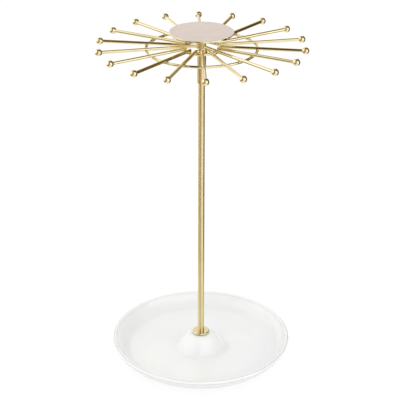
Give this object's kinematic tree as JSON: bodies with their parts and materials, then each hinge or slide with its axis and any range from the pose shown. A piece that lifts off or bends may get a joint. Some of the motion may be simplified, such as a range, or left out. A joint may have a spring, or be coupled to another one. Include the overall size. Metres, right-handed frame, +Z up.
{
  "type": "necklace holder",
  "caption": "Necklace holder: a head of ball-tipped prongs and a flat top disc turns on a slim pole that stands in a round glazed dish.",
  "frame": {"origin": "on the table under the centre of the pole, at the level of the foot pads", "axes": "+Z up along the pole; +X to the right and +Y away as seen from the front"},
  "size_m": [0.1846, 0.1862, 0.3245],
  "materials": {
    "gold_plate": "polished champagne-gold plating on steel",
    "glazed_dish": "glossy white glaze",
    "zinc_steel": "zinc plated",
    "clear_rubber": "translucent matte",
    "black_rubber": "matte",
    "nylon": "natural nylon"
  },
  "bodies": {
    "base": {"dish": "glazed_dish", "foot_pad_1": "clear_rubber", "foot_pad_2": "clear_rubber", "foot_pad_3": "clear_rubber", "foot_pad_4": "clear_rubber", "base_bolt": "zinc_steel", "base_washer": "zinc_steel", "lower_gasket": "black_rubber", "upper_gasket": "black_rubber", "base_collar": "gold_plate", "pole": "gold_plate"},
    "head": {"sleeve": "gold_plate", "lower_bush": "nylon", "cap_bush": "nylon", "hub_collar": "gold_plate", "inner_ring": "gold_plate", "outer_ring": "gold_plate", "prong_01": "gold_plate", "prong_02": "gold_plate", "prong_03": "gold_plate", "prong_04": "gold_plate", "prong_05": "gold_plate", "prong_06": "gold_plate", "prong_07": "gold_plate", "prong_08": "gold_plate", "prong_09": "gold_plate", "prong_10": "gold_plate", "prong_11": "gold_plate", "prong_12": "gold_plate", "prong_13": "gold_plate", "prong_14": "gold_plate", "prong_15": "gold_plate", "prong_16": "gold_plate", "prong_17": "gold_plate", "prong_18": "gold_plate", "prong_ball_01": "gold_plate", "prong_ball_02": "gold_plate", "prong_ball_03": "gold_plate", "prong_ball_04": "gold_plate", "prong_ball_05": "gold_plate", "prong_ball_06": "gold_plate", "prong_ball_07": "gold_plate", "prong_ball_08": "gold_plate", "prong_ball_09": "gold_plate", "prong_ball_10": "gold_plate", "prong_ball_11": "gold_plate", "prong_ball_12": "gold_plate", "prong_ball_13": "gold_plate", "prong_ball_14": "gold_plate", "prong_ball_15": "gold_plate", "prong_ball_16": "gold_plate", "prong_ball_17": "gold_plate", "prong_ball_18": "gold_plate", "top_disc": "gold_plate", "disc_stud": "gold_plate"}
  },
  "joints": [
    {"name": "head_spin", "type": "hinge", "parent": "base", "child": "head", "pos_m": [0, 0, 0.3115], "axis": [0, 0, 1], "continuous": true}
  ]
}
